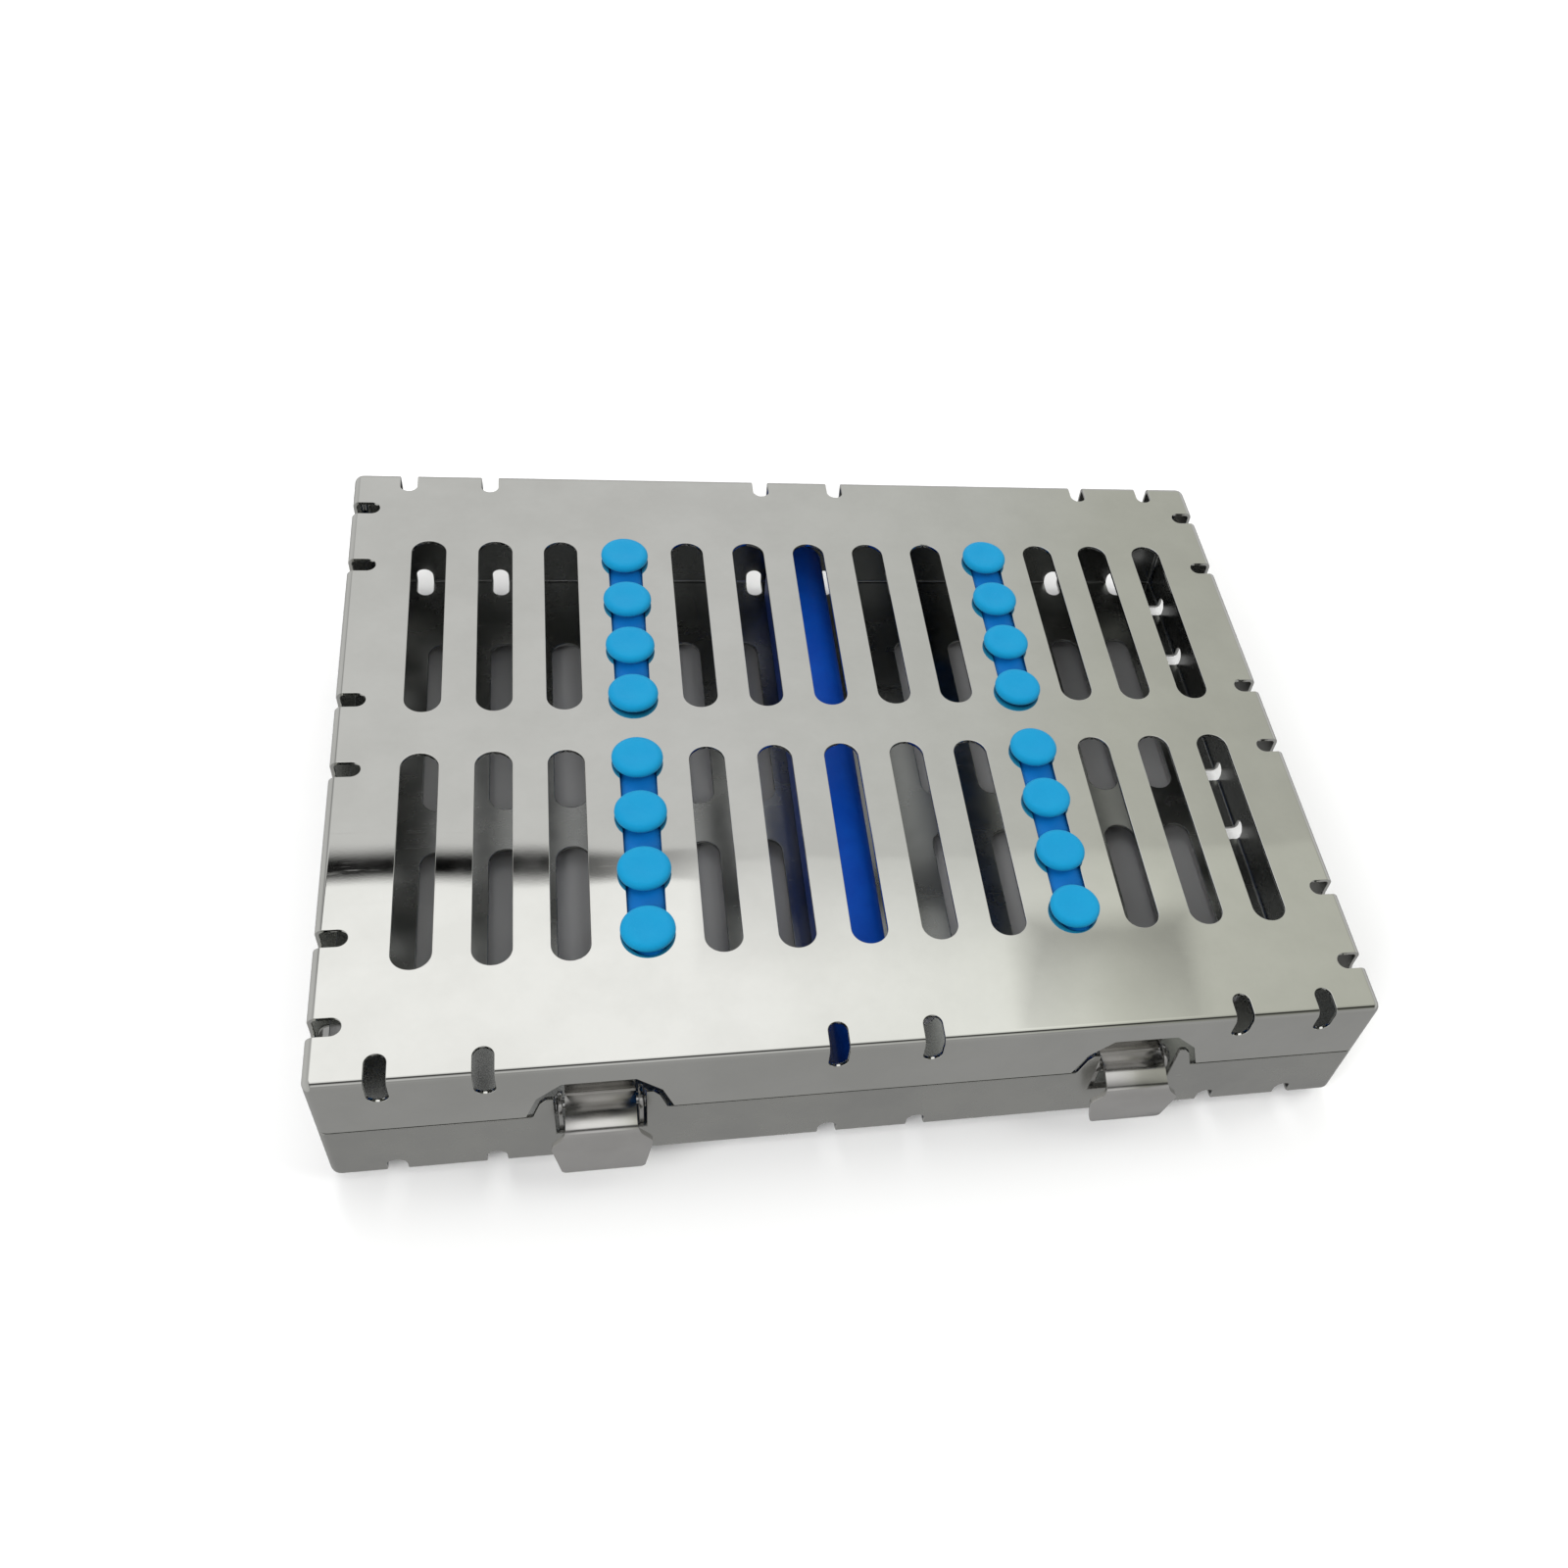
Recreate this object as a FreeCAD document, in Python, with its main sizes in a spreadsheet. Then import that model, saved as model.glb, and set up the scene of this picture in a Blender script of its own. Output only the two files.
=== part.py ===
import FreeCAD, Part
import Sketcher
import os
from math import pi

# An instrument cassette: two perforated stainless trays hinged along the rear,
# two pivoting latches on the front wall, and silicone rails held in the slots.
# The origin is on the supporting surface, under the middle of the case.
# +X runs along the long side, +Y to the hinges, +Z up. Lengths are millimetres.

SIZES = [
    # the folded trays
    ("case_width", 180.0),
    ("case_depth", 143.0),
    ("tray_height", 14.6),
    ("rim_gap", 0.3),
    ("sheet", 0.8),
    ("bend_radius", 1.4),
    ("corner_radius", 1.8),
    # the slots of both trays
    ("slot_count", 13),
    ("slot_side_margin", 15.0),
    ("slot_width", 6.4),
    ("slot_length", 46.0),
    ("slot_row_offset", 28.0),
    # the drain notches across the folds
    ("notch_width", 3.3),
    ("notch_reach", 5.3),
    ("lid_notch_drop", 5.8),
    ("base_notch_rise", 4.0),
    ("notch_inner_x", 8.0),
    ("notch_outer_x", 63.7),
    ("notch_corner_inset_x", 10.5),
    ("notch_inner_y", 8.3),
    ("notch_outer_y", 44.1),
    ("notch_corner_inset_y", 10.7),
    # the latch openings in the front walls
    ("latch_place", 46.4),
    ("window_half_width", 7.35),
    ("window_floor", 8.5),
    ("horn_rise", 5.25),
    ("horn_foot_half_width", 10.8),
    ("horn_shoulder_half_width", 9.5),
    ("horn_top_half_width", 8.5),
    ("horn_chamfer", 1.2),
    ("arch_rim_half_width", 11.8),
    ("arch_side_half_width", 9.9),
    ("arch_side_depth", 8.9),
    ("arch_top_half_width", 5.8),
    ("arch_top_depth", 4.8),
    ("lip_reach", 2.6),
    # the silicone rails and their studs
    ("rail_slot", 3),
    ("rail_width", 9.0),
    ("rail_depth", 10.0),
    ("rail_length", 124.0),
    ("rail_end_round", 2.25),
    ("comb_count", 10),
    ("comb_pitch", 12.6),
    ("comb_width", 7.0),
    ("comb_depth", 6.0),
    ("rib_clearance", 0.1),
    ("rib_recess", 0.3),
    ("stud_first", 8.0),
    ("stud_pitch", 12.7),
    ("studs_per_row", 4),
    ("head_radius", 4.6),
    ("head_height", 1.8),
    ("head_rim", 0.7),
    ("head_seat_taper", 0.5),
    ("neck_radius", 2.6),
    ("bar_width", 12.0),
    ("bar_depth", 15.0),
    ("bar_length", 132.0),
    ("bar_edge", 4.0),
    # the rear hinges
    ("hinge_place", 46.0),
    ("hinge_length", 30.0),
    ("knuckle_count", 5),
    ("hinge_leaf_sheet", 0.8),
    ("hinge_leaf_height", 10.0),
    ("hinge_leaf_corner", 2.0),
    ("hinge_knuckle_radius", 2.1),
    ("hinge_wall_clearance", 0.25),
    ("hinge_pin_radius", 1.2),
    ("hinge_running_clearance", 0.06),
    ("hinge_knuckle_gap", 0.15),
    ("pin_head_radius", 1.7),
    ("pin_head_height", 0.5),
    # the latches
    ("latch_pin_inset", 2.9),
    ("latch_pin_height", 13.4),
    ("latch_pin_radius", 1.0),
    ("latch_running_clearance", 0.05),
    ("lever_sheet", 1.0),
    ("lever_half_width", 5.7),
    ("eye_radius", 1.9),
    ("tab_top_offset", 4.3),
    ("tab_foot_offset", 3.3),
    ("tab_widest_half_width", 8.2),
    ("tab_widest_drop", 4.3),
    ("tab_foot_half_width", 6.7),
    ("tab_drop", 12.3),
    ("tab_corner", 1.3),
    ("lever_bend", 0.9),
    ("arm_bend_height", 6.9),
    ("ramp_height", 8.6),
    ("ramp_outset", 2.6),
    ("ramp_inside", 1.5),
    ("fold_shift", 0.45),
    ("neck_inset", 0.5),
    ("lip_clearance", 0.3),
    ("hook_bite", 0.5),
    ("left_rest_angle", 11.5),
    ("right_rest_angle", 3.8),
    # the brackets that carry the latch pins
    ("bracket_sheet", 0.8),
    ("bracket_ear_clearance", 0.4),
    ("bracket_foot", 2.6),
    ("bracket_window_clearance", 0.5),
    ("ear_radius", 2.2),
    ("bracket_pin_clearance", 0.02),
    ("latch_pin_end_clearance", 0.1),
    ("latch_pin_head_radius", 1.6),
]

OUTPUT_FOLDER = "parts"
NEARLY_ZERO = 0.000001
WELL_PAST = 4  # a cut this many times as long as its piece is wide goes right through it

document = FreeCAD.newDocument("instrument_cassette")
sheet = document.addObject("Spreadsheet::Sheet", "Sizes")
for row, (alias, value) in enumerate(SIZES, start=1):
    sheet.set("A%d" % row, alias)
    sheet.set("B%d" % row, str(value))
    sheet.setAlias("B%d" % row, alias)
document.recompute()


class Length:
    """A size worked out from the sheet: its number now and the formula that binds it."""

    def __init__(self, number, formula):
        self.number = number
        self.formula = formula

    def __add__(self, other):
        other = as_length(other)
        return Length(self.number + other.number, "(%s + %s)" % (self.formula, other.formula))

    def __sub__(self, other):
        other = as_length(other)
        return Length(self.number - other.number, "(%s - %s)" % (self.formula, other.formula))

    def __mul__(self, other):
        other = as_length(other)
        return Length(self.number * other.number, "(%s * %s)" % (self.formula, other.formula))

    def __truediv__(self, other):
        other = as_length(other)
        return Length(self.number / other.number, "(%s / %s)" % (self.formula, other.formula))

    def __neg__(self):
        return self * -1


def as_length(value):
    """Take a plain number or a Length and give a Length."""
    if isinstance(value, Length):
        return value
    return Length(float(value), "(%s)" % value)


def size(alias):
    """The named size of the sheet."""
    return Length(float(sheet.get(alias)), "Sizes.%s" % alias)


def new_body(label):
    """A body for one physical piece, named as the piece."""
    body = document.addObject("PartDesign::Body", label)
    body.Label = label
    return body


def origin_feature(body, role):
    """The body's own origin plane or axis with this role."""
    return next(item for item in body.Origin.OriginFeatures if item.Role == role)


def new_sketch(body, plane, offset=0):
    """A sketch on one of the body's origin planes, moved along its normal by offset."""
    sketch = body.newObject("Sketcher::SketchObject", "sketch")
    sketch.AttachmentSupport = [(origin_feature(body, plane), "")]
    sketch.MapMode = "FlatFace"
    sketch.setExpression("AttachmentOffset.Base.z", as_length(offset).formula)
    return sketch


def constrain(sketch, joins, dimensions):
    """Add the joins, then the dimensions, each dimension bound to a formula of the sheet."""
    sketch.addConstraint(joins)
    first = sketch.ConstraintCount
    sketch.addConstraint([constraint for constraint, length in dimensions])
    for index, (constraint, length) in enumerate(dimensions, start=first):
        sketch.setExpression("Constraints[%d]" % index, length.formula)


def point_dimensions(geometry, position, x, y):
    """The two dimensions that place one point of a sketch from the sketch's origin."""
    return [
        (Sketcher.Constraint("DistanceX", -1, 1, geometry, position, x.number), x),
        (Sketcher.Constraint("DistanceY", -1, 1, geometry, position, y.number), y),
    ]


def polygon(sketch, corners):
    """A closed outline of straight lines through the corners, each corner dimensioned."""
    points = [(as_length(x), as_length(y)) for x, y in corners]
    vectors = [FreeCAD.Vector(x.number, y.number, 0) for x, y in points]
    first = sketch.GeometryCount
    count = len(points)
    joins = []
    dimensions = []
    lines = []
    for index, (x, y) in enumerate(points):
        following = (index + 1) % count
        lines.append(Part.LineSegment(vectors[index], vectors[following]))
        joins.append(Sketcher.Constraint("Coincident", first + index, 2, first + following, 1))
        dimensions += point_dimensions(first + index, 1, x, y)
    sketch.addGeometry(lines, False)
    constrain(sketch, joins, dimensions)


def rectangle(sketch, left, right, low, high):
    """A rectangle between two sides and two levels."""
    polygon(sketch, [(left, low), (right, low), (right, high), (left, high)])


def circle(sketch, x, y, radius):
    """A circle with its centre and radius dimensioned."""
    x = as_length(x)
    y = as_length(y)
    centre = FreeCAD.Vector(x.number, y.number, 0)
    index = sketch.addGeometry(Part.Circle(centre, FreeCAD.Vector(0, 0, 1), radius.number), False)
    size_of = (Sketcher.Constraint("Radius", index, radius.number), radius)
    constrain(sketch, [], point_dimensions(index, 3, x, y) + [size_of])


def round_slot(sketch, x, y, half_run, radius, along_y=True):
    """A slot with round ends: the end centres are half_run either side of its middle."""
    x = as_length(x)
    y = as_length(y)
    if along_y:
        ends = [(x, y + half_run), (x, y - half_run)]
        starts = [0, pi]
        side = FreeCAD.Vector(radius.number, 0, 0)
    else:
        ends = [(x - half_run, y), (x + half_run, y)]
        starts = [pi / 2, -pi / 2]
        side = FreeCAD.Vector(0, radius.number, 0)
    first = sketch.GeometryCount
    centres = [FreeCAD.Vector(end_x.number, end_y.number, 0) for end_x, end_y in ends]
    outline = []
    for centre, start in zip(centres, starts):
        round_end = Part.Circle(centre, FreeCAD.Vector(0, 0, 1), radius.number)
        outline.append(Part.ArcOfCircle(round_end, start, start + pi))
    outline.append(Part.LineSegment(centres[0] - side, centres[1] - side))
    outline.append(Part.LineSegment(centres[1] + side, centres[0] + side))
    sketch.addGeometry(outline, False)
    joins = [
        Sketcher.Constraint("Tangent", first, 2, first + 2, 1),
        Sketcher.Constraint("Tangent", first + 2, 2, first + 1, 1),
        Sketcher.Constraint("Tangent", first + 1, 2, first + 3, 1),
        Sketcher.Constraint("Tangent", first + 3, 2, first, 1),
    ]
    dimensions = [(Sketcher.Constraint("Radius", first, radius.number), radius)]
    for index, (end_x, end_y) in enumerate(ends):
        dimensions += point_dimensions(first + index, 3, end_x, end_y)
    constrain(sketch, joins, dimensions)


def pad(body, sketch, length, reversed_way=False, both_ways=False):
    """Raise a sketch by length, from its plane or half to each side of it."""
    feature = body.newObject("PartDesign::Pad", "pad")
    feature.Profile = (sketch, [""])
    feature.setExpression("Length", as_length(length).formula)
    feature.Reversed = reversed_way
    feature.Midplane = both_ways
    document.recompute()
    return feature


def pocket(body, sketch, length, reversed_way=False, both_ways=False):
    """Cut a sketch to a depth, and make sure that the cut took material away."""
    before = body.Shape.Volume
    feature = body.newObject("PartDesign::Pocket", "pocket")
    feature.Profile = (sketch, [""])
    feature.setExpression("Length", as_length(length).formula)
    feature.Reversed = reversed_way
    feature.Midplane = both_ways
    document.recompute()
    if feature.Shape.Volume >= before - NEARLY_ZERO:
        raise RuntimeError("%s: a cut takes nothing away" % body.Label)
    return feature


def in_all_quarters(body, feature):
    """Repeat a feature in the other three quarters of the case."""
    copies = body.newObject("PartDesign::MultiTransform", "quarters")
    copies.Originals = [feature]
    planes = []
    for role in ("XZ_Plane", "YZ_Plane"):
        mirror = body.newObject("PartDesign::Mirrored", "mirror")
        mirror.MirrorPlane = (origin_feature(body, role), [""])
        planes.append(mirror)
    copies.Transformations = planes
    body.Tip = copies
    document.recompute()


def edges_where(shape, wanted):
    """Names of the shape's edges that the test accepts."""
    return ["Edge%d" % (i + 1) for i, edge in enumerate(shape.Edges) if wanted(edge)]


def runs_along(edge, axis):
    """Whether an edge is a straight line along an axis, given as 0, 1 or 2."""
    if edge.Curve.TypeId != "Part::GeomLine":
        return False
    run = edge.Vertexes[-1].Point - edge.Vertexes[0].Point
    others = [abs(run[i]) for i in range(3) if i != axis]
    return max(others) < NEARLY_ZERO


def fillet(body, base, edge_names, radius):
    """Round the named edges of the last feature."""
    feature = body.newObject("PartDesign::Fillet", "fillet")
    feature.Base = (base, edge_names)
    feature.setExpression("Radius", radius.formula)
    document.recompute()
    return feature


# Places that several pieces share

case_width = size("case_width")
case_depth = size("case_depth")
tray_height = size("tray_height")
sheet_thickness = size("sheet")
head_height = size("head_height")
front_face = -case_depth / 2
base_floor = head_height
parting_level = base_floor + tray_height + size("rim_gap") / 2
lid_top = base_floor + tray_height * 2 + size("rim_gap")
hinge_axis_y = case_depth / 2 + size("hinge_knuckle_radius") + size("hinge_wall_clearance")
latch_pin_y = front_face + size("latch_pin_inset")
latch_pin_z = base_floor + size("latch_pin_height")
arch_top_level = lid_top - size("arch_top_depth")
slot_span = case_width - size("slot_side_margin") * 2
slot_pitch = slot_span / (size("slot_count") - 1)
rail_place = slot_pitch * size("rail_slot")
SIDES = (("left", -1), ("right", 1))


def folded_tray(label, notch_on_wall):
    """A tray folded from one sheet, its mouth up: slots in the floor, notches over the folds."""
    body = new_body(label)
    outline = new_sketch(body, "XY_Plane")
    rectangle(outline, -case_width / 2, case_width / 2, front_face, case_depth / 2)
    block = pad(body, outline, tray_height)
    corners = edges_where(block.Shape, lambda edge: runs_along(edge, 2))
    rounded = fillet(body, block, corners, size("corner_radius"))
    folds = edges_where(rounded.Shape, lambda edge: edge.CenterOfMass.z < NEARLY_ZERO)
    folded = fillet(body, rounded, folds, size("bend_radius"))
    mouth = max(range(len(folded.Shape.Faces)), key=lambda i: folded.Shape.Faces[i].CenterOfMass.z)
    shell = body.newObject("PartDesign::Thickness", "shell")
    shell.Base = (folded, ["Face%d" % (mouth + 1)])
    shell.setExpression("Value", sheet_thickness.formula)
    shell.Reversed = True
    shell.Mode = 0
    shell.Join = 0
    document.recompute()
    cut_floor_slots(body)
    cut_fold_notches(body, notch_on_wall)
    return body


def cut_floor_slots(body):
    """Two rows of long slots, one row on each side of the middle."""
    sketch = new_sketch(body, "XY_Plane")
    radius = size("slot_width") / 2
    half_run = size("slot_length") / 2 - radius
    first_x = -slot_span / 2
    for way in (-1, 1):
        round_slot(sketch, first_x, size("slot_row_offset") * way, half_run, radius)
    seed = pocket(body, sketch, size("bend_radius"), reversed_way=True)
    rows = body.newObject("PartDesign::LinearPattern", "slot_rows")
    rows.Originals = [seed]
    rows.Direction = (origin_feature(body, "X_Axis"), [""])
    rows.setExpression("Length", slot_span.formula)
    rows.setExpression("Occurrences", "Sizes.slot_count")
    body.Tip = rows
    document.recompute()


def cut_fold_notches(body, notch_on_wall):
    """Round-ended drain notches that cross the folds of all four walls."""
    radius = size("notch_width") / 2
    reach = size("notch_reach")
    depth = size("bend_radius")
    corner_x = case_width / 2 - size("notch_corner_inset_x")
    corner_y = case_depth / 2 - size("notch_corner_inset_y")
    places_x = [size("notch_inner_x"), size("notch_outer_x"), corner_x]
    places_y = [size("notch_inner_y"), size("notch_outer_y"), corner_y]

    run = reach - radius
    on_floor = new_sketch(body, "XY_Plane")
    for place in places_x:
        round_slot(on_floor, place, case_depth / 2, run, radius)
    for place in places_y:
        round_slot(on_floor, case_width / 2, place, run, radius, along_y=False)
    in_all_quarters(body, pocket(body, on_floor, depth, reversed_way=True))

    on_front = new_sketch(body, "XZ_Plane", case_depth / 2)
    for place in places_x:
        round_slot(on_front, place, 0, notch_on_wall - radius, radius)
    in_all_quarters(body, pocket(body, on_front, depth))

    on_side = new_sketch(body, "YZ_Plane", case_width / 2)
    for place in places_y:
        round_slot(on_side, place, 0, notch_on_wall - radius, radius)
    in_all_quarters(body, pocket(body, on_side, depth))


def base_tray():
    """The lower tray: a horned window in the front wall for each latch."""
    body = folded_tray("base_tray", size("base_notch_rise"))
    rim = tray_height
    horn_top = rim + size("rim_gap") / 2 + size("horn_rise")
    shoulder = horn_top - size("horn_chamfer")
    horns = new_sketch(body, "XZ_Plane", case_depth / 2)
    windows = new_sketch(body, "XZ_Plane", case_depth / 2)
    for way in (-1, 1):
        middle = size("latch_place") * way
        polygon(horns, [
            (middle - size("horn_foot_half_width"), size("window_floor")),
            (middle + size("horn_foot_half_width"), size("window_floor")),
            (middle + size("horn_foot_half_width"), rim),
            (middle + size("horn_shoulder_half_width"), shoulder),
            (middle + size("horn_top_half_width"), horn_top),
            (middle - size("horn_top_half_width"), horn_top),
            (middle - size("horn_shoulder_half_width"), shoulder),
            (middle - size("horn_foot_half_width"), rim),
        ])
        half = size("window_half_width")
        above = horn_top + sheet_thickness
        rectangle(windows, middle - half, middle + half, size("window_floor"), above)
    pad(body, horns, sheet_thickness, reversed_way=True)
    pocket(body, windows, sheet_thickness * 2)
    body.Placement.Base = FreeCAD.Vector(0, 0, base_floor.number)
    body.setExpression("Placement.Base.z", base_floor.formula)
    return body


def lid_tray():
    """The upper tray, mouth down: an arch in the front wall over each latch, with a turned-in lip."""
    body = folded_tray("lid_tray", size("lid_notch_drop"))
    arches = new_sketch(body, "XZ_Plane", case_depth / 2)
    lips = new_sketch(body, "XZ_Plane", case_depth / 2)
    top = size("arch_top_depth")
    below_rim = tray_height + sheet_thickness
    for way in (-1, 1):
        middle = size("latch_place") * way
        polygon(arches, [
            (middle - size("arch_top_half_width"), top),
            (middle + size("arch_top_half_width"), top),
            (middle + size("arch_side_half_width"), size("arch_side_depth")),
            (middle + size("arch_rim_half_width"), tray_height),
            (middle + size("arch_rim_half_width"), below_rim),
            (middle - size("arch_rim_half_width"), below_rim),
            (middle - size("arch_rim_half_width"), tray_height),
            (middle - size("arch_side_half_width"), size("arch_side_depth")),
        ])
        half = size("arch_top_half_width")
        rectangle(lips, middle - half, middle + half, top - sheet_thickness, top)
    pocket(body, arches, sheet_thickness * 2)
    pad(body, lips, size("lip_reach"), reversed_way=True)
    body.Placement = FreeCAD.Placement(
        FreeCAD.Vector(0, 0, lid_top.number), FreeCAD.Rotation(FreeCAD.Vector(0, 1, 0), 180)
    )
    body.setExpression("Placement.Base.z", lid_top.formula)
    return body


def add_studs(body):
    """Ribs that lie in two slots and mushroom heads that hold the tray's sheet to the rail."""
    rib_radius = size("slot_width") / 2 - size("rib_clearance")
    rib_half_run = size("slot_length") / 2 - size("slot_width") / 2
    ribs = new_sketch(body, "XY_Plane")
    for way in (-1, 1):
        round_slot(ribs, 0, size("slot_row_offset") * way, rib_half_run, rib_radius)
    pad(body, ribs, sheet_thickness - size("rib_recess"))

    half_profile = new_sketch(body, "YZ_Plane")
    seat = sheet_thickness
    crown = sheet_thickness + head_height
    middle = size("stud_first")
    edge = middle + size("head_radius")
    polygon(half_profile, [
        (middle, 0),
        (middle + size("neck_radius"), 0),
        (middle + size("neck_radius"), seat),
        (edge - size("head_seat_taper"), seat),
        (edge, crown - size("head_rim")),
        (edge - size("head_rim"), crown),
        (middle, crown),
    ])
    head = body.newObject("PartDesign::Revolution", "head")
    head.Profile = (half_profile, [""])
    axis = half_profile.addGeometry(
        Part.LineSegment(
            FreeCAD.Vector(middle.number, 0, 0), FreeCAD.Vector(middle.number, crown.number, 0)
        ),
        True,
    )
    foot = point_dimensions(axis, 1, middle, as_length(0))
    constrain(half_profile, [], foot + point_dimensions(axis, 2, middle, crown))
    head.ReferenceAxis = (half_profile, ["Axis0"])
    head.Angle = 360
    document.recompute()

    heads = body.newObject("PartDesign::MultiTransform", "heads")
    along = body.newObject("PartDesign::LinearPattern", "along_the_slot")
    across = body.newObject("PartDesign::Mirrored", "in_the_other_row")
    heads.Originals = [head]
    heads.Transformations = [along, across]
    along.Direction = (origin_feature(body, "Y_Axis"), [""])
    run = size("stud_pitch") * (size("studs_per_row") - 1)
    along.setExpression("Length", run.formula)
    along.setExpression("Occurrences", "Sizes.studs_per_row")
    across.MirrorPlane = (origin_feature(body, "XZ_Plane"), [""])
    body.Tip = heads
    document.recompute()


def lid_rail(side, way):
    """A comb of silicone under the lid: a row of U notches keeps the instruments apart."""
    body = new_body("lid_rail_" + side)
    section = new_sketch(body, "XZ_Plane")
    half = size("rail_width") / 2
    rectangle(section, -half, half, -size("rail_depth"), 0)
    block = pad(body, section, size("rail_length"), both_ways=True)
    ends = edges_where(block.Shape, lambda edge: runs_along(edge, 2))
    fillet(body, block, ends, size("rail_end_round"))

    notch = new_sketch(body, "YZ_Plane")
    radius = size("comb_width") / 2
    span = size("comb_pitch") * (size("comb_count") - 1)
    low_end = -size("rail_depth")
    half_run = size("comb_depth") - radius
    round_slot(notch, -span / 2, low_end, half_run, radius)
    seed = pocket(body, notch, size("rail_width") * WELL_PAST, both_ways=True)
    comb = body.newObject("PartDesign::LinearPattern", "comb")
    comb.Originals = [seed]
    comb.Direction = (origin_feature(body, "Y_Axis"), [""])
    comb.setExpression("Length", span.formula)
    comb.setExpression("Occurrences", "Sizes.comb_count")
    body.Tip = comb
    document.recompute()
    add_studs(body)
    x = rail_place * way
    z = lid_top - sheet_thickness
    body.Placement.Base = FreeCAD.Vector(x.number, 0, z.number)
    body.setExpression("Placement.Base.x", x.formula)
    body.setExpression("Placement.Base.z", z.formula)
    return body


def base_centre_bar():
    """The silicone bar that the instruments lie on; its heads are the cassette's feet."""
    body = new_body("base_centre_bar")
    section = new_sketch(body, "XZ_Plane")
    half = size("bar_width") / 2
    rectangle(section, -half, half, -size("bar_depth"), 0)
    block = pad(body, section, size("bar_length"), both_ways=True)
    low = -size("bar_depth").number
    back = edges_where(
        block.Shape,
        lambda edge: runs_along(edge, 1) and abs(edge.CenterOfMass.z - low) < NEARLY_ZERO,
    )
    fillet(body, block, back, size("bar_edge"))
    add_studs(body)
    z = base_floor + sheet_thickness
    body.Placement = FreeCAD.Placement(
        FreeCAD.Vector(0, 0, z.number), FreeCAD.Rotation(FreeCAD.Vector(0, 1, 0), 180)
    )
    body.setExpression("Placement.Base.z", z.formula)
    return body


def hinge_leaf(label, way, is_lid):
    """A leaf rolled round the pin: the base leaf has the first, third and fifth knuckles."""
    body = new_body(label)
    length = size("hinge_length")
    knuckle = size("hinge_knuckle_radius")
    wall_side = -(knuckle + size("hinge_wall_clearance"))
    plate = new_sketch(body, "XZ_Plane", -wall_side)
    rectangle(plate, -length / 2, length / 2, -size("hinge_leaf_height"), -size("rim_gap"))
    leaf = pad(body, plate, size("hinge_leaf_sheet"), reversed_way=True)
    low = -size("hinge_leaf_height").number
    corners = edges_where(
        leaf.Shape,
        lambda edge: runs_along(edge, 1) and abs(edge.CenterOfMass.z - low) < NEARLY_ZERO,
    )
    fillet(body, leaf, corners, size("hinge_leaf_corner"))
    barrel = new_sketch(body, "YZ_Plane")
    circle(barrel, 0, 0, knuckle)
    pad(body, barrel, length, both_ways=True)
    bore = new_sketch(body, "YZ_Plane")
    circle(bore, 0, 0, size("hinge_pin_radius") + size("hinge_running_clearance"))
    pocket(body, bore, length * WELL_PAST, both_ways=True)

    share = length / size("knuckle_count")
    last = int(size("knuckle_count").number) - 1
    gaps = new_sketch(body, "XZ_Plane")
    clear = knuckle + size("hinge_wall_clearance")
    for number in range(last + 1):
        belongs_to_lid = number % 2 == 1
        if belongs_to_lid == is_lid:
            continue
        from_x = share * number - length / 2
        to_x = from_x + share
        if number > 0:
            from_x = from_x - size("hinge_knuckle_gap")
        if number < last:
            to_x = to_x + size("hinge_knuckle_gap")
        rectangle(gaps, from_x, to_x, -clear, clear)
    pocket(body, gaps, knuckle * WELL_PAST, both_ways=True)

    x = size("hinge_place") * way
    turn = 180 if is_lid else 0
    body.Placement = FreeCAD.Placement(
        FreeCAD.Vector(x.number, hinge_axis_y.number, parting_level.number),
        FreeCAD.Rotation(FreeCAD.Vector(0, 1, 0), turn),
    )
    body.setExpression("Placement.Base.x", x.formula)
    body.setExpression("Placement.Base.y", hinge_axis_y.formula)
    body.setExpression("Placement.Base.z", parting_level.formula)
    return body


def headed_pin(label, shank_radius, head_radius, between_heads, x, y, z):
    """A pin along X, peened to a head at each end."""
    body = new_body(label)
    half = new_sketch(body, "XZ_Plane")
    inner = between_heads / 2
    outer = inner + size("pin_head_height")
    chamfer = size("pin_head_height") / 2
    polygon(half, [
        (-outer, 0),
        (outer, 0),
        (outer, head_radius - chamfer),
        (outer - chamfer, head_radius),
        (inner, head_radius),
        (inner, shank_radius),
        (-inner, shank_radius),
        (-inner, head_radius),
        (chamfer - outer, head_radius),
        (-outer, head_radius - chamfer),
    ])
    turned = body.newObject("PartDesign::Revolution", "turned")
    turned.Profile = (half, [""])
    turned.ReferenceAxis = (half, ["H_Axis"])
    turned.Angle = 360
    document.recompute()
    body.Placement.Base = FreeCAD.Vector(x.number, y.number, z.number)
    body.setExpression("Placement.Base.x", x.formula)
    body.setExpression("Placement.Base.y", y.formula)
    body.setExpression("Placement.Base.z", z.formula)
    return body


def hinge_pin(side, way):
    """The hinge's pin; its heads stand just off the outer knuckles."""
    between = size("hinge_length") + size("hinge_knuckle_gap") * 2
    return headed_pin(
        "hinge_pin_" + side,
        size("hinge_pin_radius"),
        size("pin_head_radius"),
        between,
        size("hinge_place") * way,
        hinge_axis_y,
        parting_level,
    )


def latch_pin(side, way):
    """The pin that the latch lever turns on, held in the bracket's ears."""
    ear_outside = size("lever_half_width") + size("bracket_ear_clearance") + size("bracket_sheet")
    between = (ear_outside + size("latch_pin_end_clearance")) * 2
    return headed_pin(
        "latch_pin_" + side,
        size("latch_pin_radius"),
        size("latch_pin_head_radius"),
        between,
        size("latch_place") * way,
        latch_pin_y,
        latch_pin_z,
    )


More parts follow.
